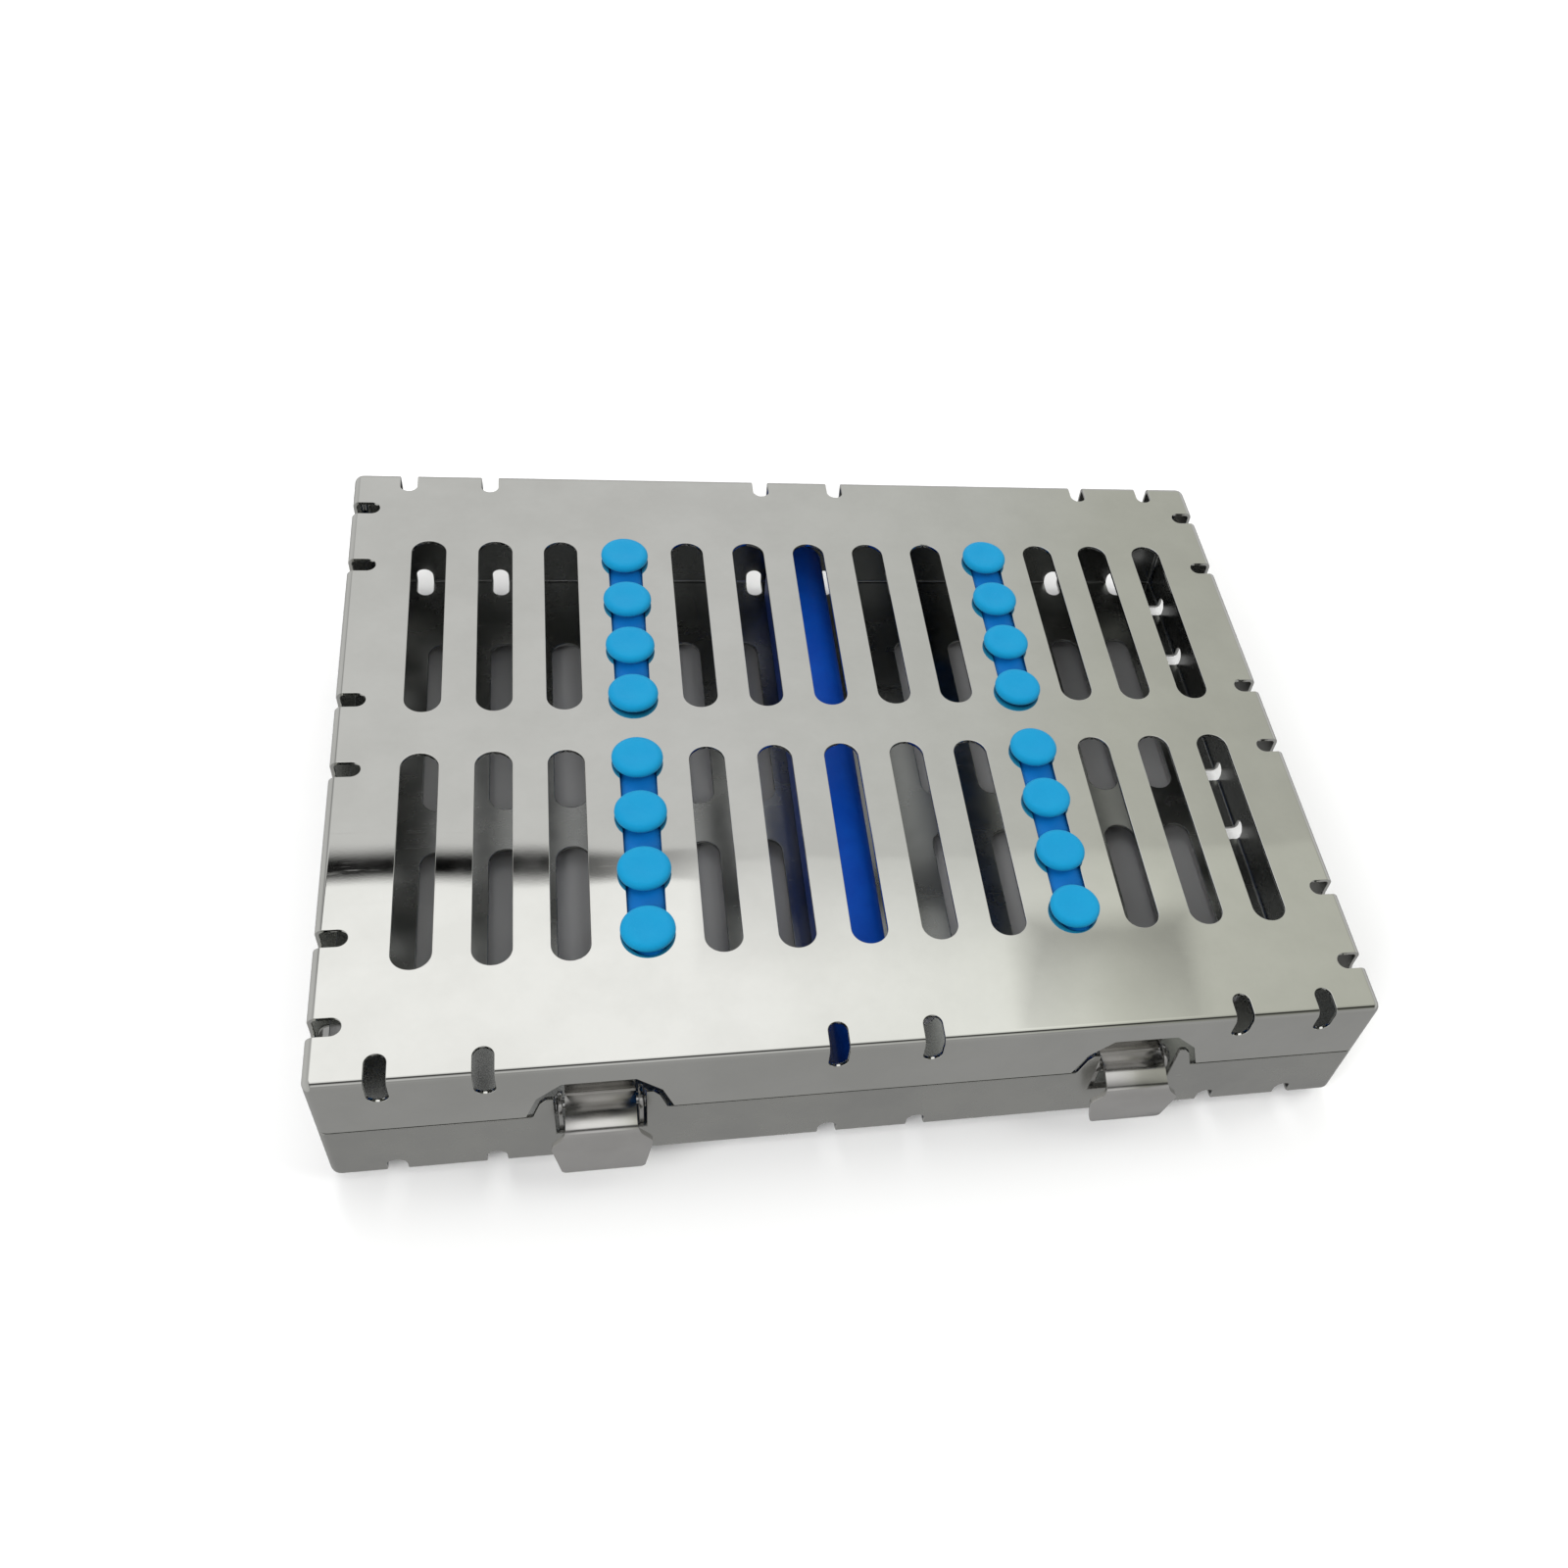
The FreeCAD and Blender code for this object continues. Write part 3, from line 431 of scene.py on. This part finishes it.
sky_blue = moulded_silicone(
    "sky_blue_silicone",
    blue=(0.006, 0.245, 0.460),
    shade=(0.005, 0.230, 0.450),
    deep=(0.002, 0.120, 0.390),
    seat=0.0314,
)
royal_blue = moulded_silicone(
    "royal_blue_silicone",
    blue=(0.002, 0.080, 0.50),
    shade=(0.001, 0.058, 0.42),
    deep=(0.001, 0.06, 0.40),
    seat=0.010,
)
lid_ceiling, base_floor = lid_top - sheet, base_underside + sheet
slot_rows = (-0.028, 0.028)
first_stud, stud_pitch = 0.008, 0.0127
stud_places = [
    row * (first_stud + stud_pitch * number) for row in (-1, 1) for number in range(4)
]
comb_notch_pitch, first_comb_notch, comb_notch_radius = 0.0126, -0.0567, 0.0035
for side, rail_x in (("left", -0.0375), ("right", 0.0375)):
    bpy.ops.object.select_all(action="DESELECT")
    bpy.ops.mesh.primitive_cube_add(size=1.0, location=(rail_x, 0.0, 0.0255))
    comb = bpy.context.active_object
    bpy.ops.transform.resize(value=(0.009, 0.124, 0.010))
    bpy.ops.object.transform_apply(location=False, rotation=False, scale=True)
    bpy.ops.object.mode_set(mode="EDIT")
    pick(comb, "edges", lambda edge: along(edge, 2))
    bpy.ops.mesh.bevel(offset=0.00225, segments=8)
    bpy.ops.object.mode_set(mode="OBJECT")

    bpy.ops.object.select_all(action="DESELECT")
    bpy.ops.mesh.primitive_cylinder_add(
        vertices=40,
        radius=comb_notch_radius,
        depth=0.014,
        location=(rail_x, first_comb_notch, 0.023),
        rotation=(0.0, radians(90), 0.0),
    )
    cutter = bpy.context.active_object
    bpy.ops.object.transform_apply(location=False, rotation=True, scale=True)
    bpy.ops.object.mode_set(mode="EDIT")
    pick(cutter, "verts", lambda vert: vert.co.z < -0.00001)
    bpy.ops.transform.translate(value=(0, 0, -0.006))
    bpy.ops.object.mode_set(mode="OBJECT")
    row = cutter.modifiers.new("row", "ARRAY")
    row.count = 10
    row.use_relative_offset = False
    row.use_constant_offset = True
    row.constant_offset_displace = (0.0, comb_notch_pitch, 0.0)
    apply_all(cutter)

    notches = comb.modifiers.new("notches", "BOOLEAN")
    notches.operation = "DIFFERENCE"
    notches.object = cutter
    notches.solver = "EXACT"
    round_edges(comb, 0.00035, 3)
    apply_all(comb)
    bpy.data.objects.remove(cutter)

    parts = [comb]
    parts += [slot_rib(rail_x, row_y, 0.0303, 0.0307) for row_y in slot_rows]
    parts += [mushroom_head(rail_x, y, lid_ceiling, 1) for y in stud_places]
    rail = join_moulding("comb_rail_" + side, parts, sky_blue, "lid", "lid_rail_" + side)


# The centre bar is a plain bar of a deeper blue, with a rounded back that the instruments
# lie on. Its heads under the base are the cassette's feet.

bpy.ops.object.select_all(action="DESELECT")
bpy.ops.mesh.primitive_cube_add(size=1.0, location=(0.0, 0.0, 0.0101))
bar = bpy.context.active_object
bpy.ops.transform.resize(value=(0.012, 0.132, 0.015))
bpy.ops.object.transform_apply(location=False, rotation=False, scale=True)
bpy.ops.object.mode_set(mode="EDIT")
pick(bar, "edges", lambda edge: along(edge, 1) and edge.verts[0].co.z > 0)
bpy.ops.mesh.bevel(offset=0.004, segments=8)
bpy.ops.object.mode_set(mode="OBJECT")
round_edges(bar, 0.0006, 3)
parts = [bar]
parts += [slot_rib(0.0, row_y, 0.0021, 0.0027) for row_y in slot_rows]
parts += [mushroom_head(0.0, y, base_floor, -1) for y in stud_places]
bar = join_moulding("centre_rest_bar", parts, royal_blue, "base", "base_centre_bar")


# The rear hinges. Each leaf is a strip of 0.8 mm sheet rolled round a steel pin and
# spot-welded to its tray; the pin is peened over at both ends.

hinge_steel = polished_sheet(
    "hinge_sheet",
    light=(0.62, 0.615, 0.60),
    dark=(0.55, 0.545, 0.53),
    smooth=0.18,
    rough=0.30,
    ripple=0.0001,
    grain_depth=0.25,
)
pin_steel = polished_sheet(
    "turned_pin_steel",
    light=(0.68, 0.68, 0.67),
    dark=(0.60, 0.60, 0.59),
    smooth=0.10,
    rough=0.20,
    ripple=0.00002,
    grain_depth=0.1,
)
hinge_pin_level, leaf_outside = 0.01655, 0.07232
weld_radius, weld_above_pin, weld_pitch = 0.0011, 0.0062, 0.0095
for side, hinge_x in (("left", -0.046), ("right", 0.046)):
    for leaf, way in (("hinge_base_leaf_", -1), ("hinge_lid_leaf_", 1)):
        give_finish(leaf + side, hinge_steel)
        ease_edges(leaf + side, 0.00012, 2)
        for number, step in enumerate((-1, 0, 1)):
            weld_x = hinge_x + step * weld_pitch
            middle = (weld_x, leaf_outside, hinge_pin_level + weld_above_pin * way)
            bpy.ops.object.select_all(action="DESELECT")
            bpy.ops.mesh.primitive_circle_add(
                vertices=24,
                radius=weld_radius,
                fill_type="NGON",
                location=middle,
                rotation=(radians(-90), 0.0, 0.0),
            )
            nugget = bpy.context.active_object
            nugget.name = "weld_%s%s_%d" % (leaf, side, number)
            apply_all(nugget)
            bpy.ops.object.mode_set(mode="EDIT")
            bpy.ops.mesh.select_mode(type="FACE")
            bpy.ops.mesh.select_all(action="SELECT")
            for rise, ratio in ((0.00008, 0.86), (-0.00002, 0.8), (-0.00006, 0.75)):
                bpy.ops.mesh.extrude_region_move(TRANSFORM_OT_translate={"value": (0, rise, 0)})
                bpy.ops.transform.resize(value=(ratio, 1.0, ratio), center_override=middle)
            bpy.ops.mesh.poke()
            bpy.ops.object.mode_set(mode="OBJECT")
            bpy.ops.object.shade_smooth_by_angle(angle=radians(60))
            nugget.data.materials.append(hinge_steel)
            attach(nugget, "base" if way < 0 else "lid")
    give_finish("hinge_pin_" + side, pin_steel)
    ease_edges("hinge_pin_" + side, 0.00008, 2)


# The latches. A U-shaped bracket inside the base carries a pin, and a lever bent from 1 mm
# sheet turns on it: an eight-cornered finger tab outside, a sloping shelf back to the rolled
# eye, then an arm that folds out into a ramp and ends in the hook over the lid's lip.

def bent_strip(rows, corners, bends):
    """A strip of 1 mm sheet bent along a path.

    rows are (half width, y, z) from end to end, corners the rows whose ends are rounded, and
    bends the rows on which the sheet is bent."""
    bpy.ops.object.select_all(action="DESELECT")
    bpy.ops.mesh.primitive_plane_add(size=2.0)
    strip = bpy.context.active_object
    bpy.ops.object.mode_set(mode="EDIT")
    for end, (half, y, z) in zip((-1, 1), rows):
        pick(strip, "verts", lambda vert: vert.co.y * end > 0.5)
        bpy.ops.transform.resize(value=(half, 1.0, 1.0), center_override=(0, 0, 0))
        bpy.ops.transform.translate(value=(0, y - end, z))
    for (half, y, z), (next_half, next_y, next_z) in zip(rows[1:], rows[2:]):
        bpy.ops.mesh.extrude_edges_move(
            TRANSFORM_OT_translate={"value": (0, next_y - y, next_z - z)}
        )
        bpy.ops.transform.resize(value=(next_half / half, 1.0, 1.0), center_override=(0, 0, 0))

    def on(vert, numbers):
        places = [Vector(rows[number][1:]) for number in numbers]
        return any((vert.co.yz - spot).length < 0.00001 for spot in places)

    def on_bend(edge):
        return along(edge, 0) and all(on(vert, bends) for vert in edge.verts)

    pick(strip, "verts", lambda vert: on(vert, corners))
    bpy.ops.mesh.bevel(offset=0.0007, segments=4, affect="VERTICES")
    pick(strip, "edges", on_bend)
    bpy.ops.mesh.bevel(offset=0.0009, segments=5)
    bpy.ops.mesh.select_all(action="SELECT")
    bpy.ops.mesh.normals_make_consistent(inside=False)
    bpy.ops.object.mode_set(mode="OBJECT")
    gauge = strip.modifiers.new("gauge", "SOLIDIFY")
    gauge.thickness = 0.001
    gauge.offset = 0.0
    gauge.use_even_offset = True
    round_edges(strip, 0.00018, 2)
    apply_all(strip)
    return strip


latch_steel = polished_sheet(
    "lever_sheet",
    light=(0.72, 0.71, 0.69),
    dark=(0.65, 0.64, 0.62),
    smooth=0.16,
    rough=0.28,
    ripple=0.0001,
    grain_depth=0.06,
)
lever_half_width = 0.0057
eye_radius, eye_wall = 0.001475, 0.00085
latch_pin_y, latch_pin_level = -0.0686, 0.0152
tab_and_shelf = [
    (0.0067, -0.0057, -0.0104),
    (0.0082, -0.00643, -0.0030),
    (lever_half_width, -0.0067, 0.0000),
    (lever_half_width, -0.0029, 0.0014),
    (lever_half_width, 0.0000, 0.0014),
]
arm_and_hook = [
    (lever_half_width, 0.0014, 0.0000),
    (lever_half_width, 0.0014, 0.0071),
    (lever_half_width, -0.00175, 0.0086),
    (lever_half_width, 0.0010, 0.01078),
    (lever_half_width, 0.0010, 0.0129),
    (lever_half_width, -0.0008, 0.0129),
]
for side, latch_x, swing in (("left", -0.0464, 11.5), ("right", 0.0464, 3.8)):
    give_finish("latch_bracket_" + side, hinge_steel)
    ease_edges("latch_bracket_" + side, 0.00012, 2)
    give_finish("latch_pin_" + side, pin_steel)
    ease_edges("latch_pin_" + side, 0.00008, 2)

    bpy.ops.object.select_all(action="DESELECT")
    bpy.ops.mesh.primitive_circle_add(
        vertices=40,
        radius=eye_radius,
        location=(-lever_half_width, 0.0, 0.0),
        rotation=(0.0, radians(90), 0.0),
    )
    eye = bpy.context.active_object
    bpy.ops.object.transform_apply(location=True, rotation=True, scale=True)
    bpy.ops.object.mode_set(mode="EDIT")
    bpy.ops.mesh.select_all(action="SELECT")
    bpy.ops.mesh.extrude_edges_move(
        TRANSFORM_OT_translate={"value": (2 * lever_half_width, 0, 0)}
    )
    bpy.ops.mesh.select_all(action="SELECT")
    bpy.ops.mesh.normals_make_consistent(inside=False)
    bpy.ops.object.mode_set(mode="OBJECT")
    wall = eye.modifiers.new("wall", "SOLIDIFY")
    wall.thickness = eye_wall
    wall.offset = 0.0
    apply_all(eye)

    strips = [
        bent_strip(tab_and_shelf, corners=(0, 1), bends=(2, 3)),
        bent_strip(arm_and_hook, corners=(5,), bends=(1, 2, 3, 4)),
    ]
    bpy.ops.object.select_all(action="DESELECT")
    for part in (eye, *strips):
        part.select_set(True)
    bpy.context.view_layer.objects.active = eye
    bpy.ops.object.join()
    lever = bpy.context.active_object
    lever.name = "lever_" + side
    lever.location = (latch_x, latch_pin_y, latch_pin_level)
    lever.rotation_euler.x = radians(-swing)
    apply_all(lever)
    lever.data.materials.clear()
    lever.data.materials.append(latch_steel)
    bpy.ops.object.shade_smooth_by_angle(angle=radians(38))
    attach(lever, "latch_" + side)
    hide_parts("latch_lever_" + side)


# The studio: a plain white floor, three soft lamps that the steel doesn't mirror, and the room
# that it does mirror: a pale ceiling with one bright panel behind a dark frame, greyer walls
# and a dim floor.

def matt_sheet(name, size, level, low, high, grain, rough):
    """A flat matt sheet of the stage, clouded between two greys."""
    bpy.ops.object.select_all(action="DESELECT")
    bpy.ops.mesh.primitive_plane_add(size=1.0, location=(0.0, 0.0, level))
    surface = bpy.context.active_object
    surface.name = name
    bpy.ops.transform.resize(value=(*size, 1.0))
    bpy.ops.object.transform_apply(location=True, rotation=True, scale=True)
    material, shader, add, link = new_material(name)
    shader.inputs["Roughness"].default_value = rough
    shader.inputs["Specular IOR Level"].default_value = 0.1
    place = add("ShaderNodeTexCoord")
    paper = add("ShaderNodeTexNoise", Scale=grain, Detail=2.0)
    link(place.outputs["Object"], paper.inputs["Vector"])
    tint = colour_ramp(add, [(0.3, (low, low, low)), (0.7, (high, high, high))])
    link(paper.outputs["Fac"], tint.inputs["Fac"])
    link(tint.outputs["Color"], shader.inputs["Base Color"])
    surface.data.materials.append(material)
    return surface


floor = matt_sheet("floor", (6.0, 6.0), 0.0, low=0.87, high=0.89, grain=3.0, rough=0.9)
floor.visible_glossy = False
# A grey card just under the case, smaller than its outline: painted shade, standing in for the
# shadowed floor seen through the slots.
mat = matt_sheet(
    "mat_under_the_case", (0.170, 0.134), 0.0001, low=0.40, high=0.44, grain=9.0, rough=0.8
)

world = bpy.data.worlds.new("studio")
world.use_nodes = True
bpy.context.scene.world = world
nodes = world.node_tree.nodes
link = world.node_tree.links.new
direction = nodes.new("ShaderNodeTexCoord")
split = nodes.new("ShaderNodeSeparateXYZ")
link(direction.outputs["Generated"], split.inputs["Vector"])
past_frame = nodes.new("ShaderNodeVectorMath")
past_frame.operation = "DOT_PRODUCT"
past_frame.inputs[1].default_value = (-0.0233, -0.7981, 0.6020)
link(direction.outputs["Generated"], past_frame.inputs[0])
parts_of_direction = {name: split.outputs[name] for name in "XYZ"}
parts_of_direction["past frame"] = past_frame.outputs["Value"]


def tone_by(part, stops):
    """A tone that follows one part of the direction, from -1 to 1."""
    spread = nodes.new("ShaderNodeMapRange")
    spread.inputs["From Min"].default_value = -1.0
    tones = nodes.new("ShaderNodeValToRGB")
    points = tones.color_ramp.elements
    while len(points) < len(stops):
        points.new(0.5)
    for point, (spot, *tone) in zip(points, stops):
        point.position = (spot + 1.0) / 2.0
        point.color = (*(tone * 3)[:3], 1.0)
    link(parts_of_direction[part], spread.inputs["Value"])
    link(spread.outputs["Result"], tones.inputs["Fac"])
    return tones.outputs["Color"]


def blended(way, one, other):
    """Two tones put together: their product, or the lighter or the darker of the two."""
    mix = nodes.new("ShaderNodeMix")
    mix.data_type = "RGBA"
    mix.blend_type = way
    mix.inputs["Factor"].default_value = 1.0
    link(one, mix.inputs[6])
    link(other, mix.inputs[7])
    return mix.outputs[2]


ceiling = tone_by("Z", [(0.50, 0.0), (0.56, 1.0)])
panel_edge = tone_by("past frame", [(-0.45, 0.66), (-0.005, 0.78), (0.005, 1.22), (1.0, 1.32)])
soft_edge = tone_by("past frame", [(-0.45, 0.66), (-0.03, 0.78), (0.075, 1.22), (1.0, 1.32)])
sharp_on_the_left = tone_by("X", [(0.04, 1.4), (0.12, 0.0)])
panel = blended("DARKEN", panel_edge, blended("LIGHTEN", soft_edge, sharp_on_the_left))
panel = blended("DARKEN", panel, tone_by("X", [(0.26, 1.4), (0.36, 0.90)]))
panel_frame = blended(
    "LIGHTEN",
    tone_by("past frame", [(-0.012, 1.0), (-0.008, 0.0), (0.003, 0.0), (0.006, 1.0)]),
    tone_by("X", [(-0.03, 0.0), (0.08, 1.0)]),
)
doorway = blended(
    "LIGHTEN",
    tone_by("past frame", [(0.028, 1.0), (0.048, 0.55), (0.075, 0.72), (0.13, 1.0)]),
    tone_by("X", [(0.25, 1.0), (0.31, 0.0), (0.33, 0.0), (0.37, 1.0)]),
)
across = tone_by("X", [
    (-0.45, 0.45, 0.45, 0.45), (-0.25, 1.0, 1.0, 1.0), (0.08, 0.98, 0.98, 0.98),
    (0.24, 0.88, 0.89, 0.86), (0.32, 0.78, 0.79, 0.72), (0.55, 0.62, 0.63, 0.56),
])
behind = tone_by("Y", [(-0.62, 0.50), (-0.45, 0.06), (-0.24, 0.06), (-0.12, 0.70), (0.20, 1.0)])
overhead = blended("MULTIPLY", ceiling, behind)
for tones in (panel, panel_frame, doorway, across):
    overhead = blended("MULTIPLY", overhead, tones)
horizon = blended(
    "MULTIPLY",
    tone_by("Z", [(-0.05, 0.36), (0.0, 0.66), (0.52, 0.60), (0.62, 0.0)]),
    tone_by("Y", [(-0.90, 0.62), (-0.30, 0.90), (0.20, 1.0)]),
)
left_wall = tone_by("X", [(-0.95, 0.62), (-0.60, 0.55), (-0.35, 0.0)])
ground = tone_by("Z", [(-1.0, 0.28), (-0.93, 0.36), (-0.05, 0.38), (0.0, 0.0)])
room = overhead
for tones in (left_wall, horizon, ground):
    room = blended("LIGHTEN", room, tones)
link(room, nodes["Background"].inputs["Color"])

for name, spot, width, power in (
    ("key", (-0.9, -0.8, 0.75), 0.8, 16.0),
    ("fill", (1.1, -0.1, 0.8), 0.9, 10.0),
    ("back", (-0.1, 1.2, 0.8), 0.9, 10.0),
):
    lamp = bpy.data.lights.new(name, "AREA")
    lamp.size = width
    lamp.energy = power
    holder = bpy.data.objects.new(name, lamp)
    holder.location = spot
    holder.rotation_euler = (-Vector(spot)).to_track_quat("-Z", "Y").to_euler()
    holder.visible_glossy = False
    bpy.context.scene.collection.objects.link(holder)
bpy.context.scene.view_settings.view_transform = "Standard"
